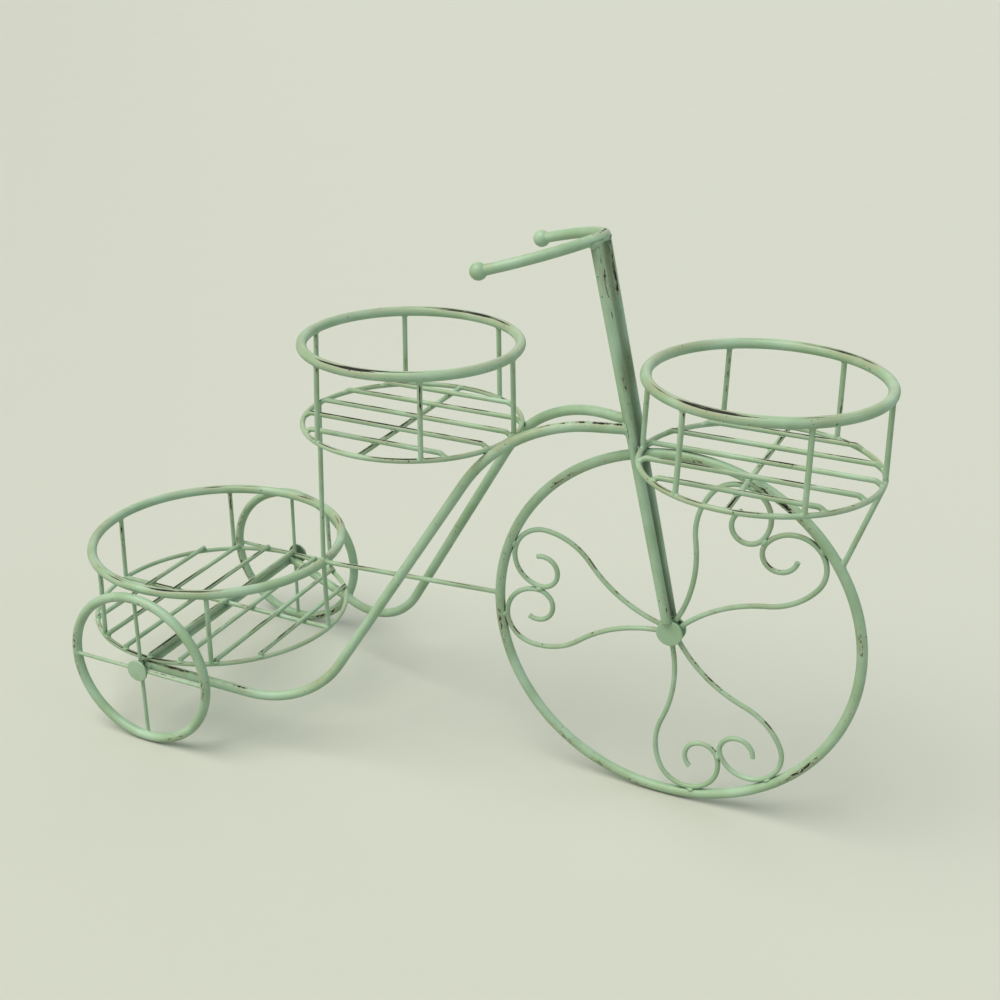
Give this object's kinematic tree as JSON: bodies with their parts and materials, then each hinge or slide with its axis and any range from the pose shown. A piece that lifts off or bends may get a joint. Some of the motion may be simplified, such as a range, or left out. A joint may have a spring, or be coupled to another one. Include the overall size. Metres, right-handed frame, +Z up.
{
  "type": "tricycle plant stand",
  "caption": "Welded wire plant stand shaped like a tricycle, with a scroll-spoked front wheel, small spoked rear wheels and round open baskets for pots.",
  "frame": {"origin": "on the floor, below the middle of the stand's length and width", "axes": "+X forward to the large front wheel, +Y to the left, +Z up from the floor"},
  "size_m": [0.848, 0.3098, 0.5614],
  "materials": {
    "sage_paint": "satin sage-green brushed paint on steel, rubbed through to dark metal in streaks along the edges"
  },
  "bodies": {
    "root": {"brace_rod": "sage_paint", "fork_leg_left": "sage_paint", "fork_leg_right": "sage_paint", "frame_rod_left": "sage_paint", "frame_rod_right": "sage_paint", "front_basket_cross_wire": "sage_paint", "front_basket_floor_ring": "sage_paint", "front_basket_post_1": "sage_paint", "front_basket_post_2": "sage_paint", "front_basket_post_3": "sage_paint", "front_basket_post_4": "sage_paint", "front_basket_post_5": "sage_paint", "front_basket_post_6": "sage_paint", "front_basket_slats": "sage_paint", "front_basket_strut": "sage_paint", "front_basket_top_ring": "sage_paint", "front_hub_cap_left": "sage_paint", "front_hub_cap_right": "sage_paint", "front_hub_sleeve": "sage_paint", "front_rim": "sage_paint", "grip_ball_left": "sage_paint", "grip_ball_right": "sage_paint", "handlebar": "sage_paint", "middle_basket_cross_wire": "sage_paint", "middle_basket_floor_ring": "sage_paint", "middle_basket_post_1": "sage_paint", "middle_basket_post_2": "sage_paint", "middle_basket_post_3": "sage_paint", "middle_basket_post_4": "sage_paint", "middle_basket_post_5": "sage_paint", "middle_basket_post_6": "sage_paint", "middle_basket_slats": "sage_paint", "middle_basket_strut": "sage_paint", "middle_basket_top_ring": "sage_paint", "rear_axle": "sage_paint", "rear_basket_cross_wire": "sage_paint", "rear_basket_floor_ring": "sage_paint", "rear_basket_post_1": "sage_paint", "rear_basket_post_2": "sage_paint", "rear_basket_post_3": "sage_paint", "rear_basket_post_4": "sage_paint", "rear_basket_post_5": "sage_paint", "rear_basket_post_6": "sage_paint", "rear_basket_slats": "sage_paint", "rear_basket_top_ring": "sage_paint", "rear_hub_disc_left": "sage_paint", "rear_hub_disc_right": "sage_paint", "rear_rim_left": "sage_paint", "rear_rim_right": "sage_paint", "rear_spoke_level_left": "sage_paint", "rear_spoke_level_right": "sage_paint", "rear_spoke_upright_left": "sage_paint", "rear_spoke_upright_right": "sage_paint", "scroll_bottom_front": "sage_paint", "scroll_bottom_rear": "sage_paint", "scroll_rear_lower": "sage_paint", "scroll_rear_upper": "sage_paint", "scroll_top_front": "sage_paint", "scroll_top_rear": "sage_paint"}
  },
  "joints": []
}
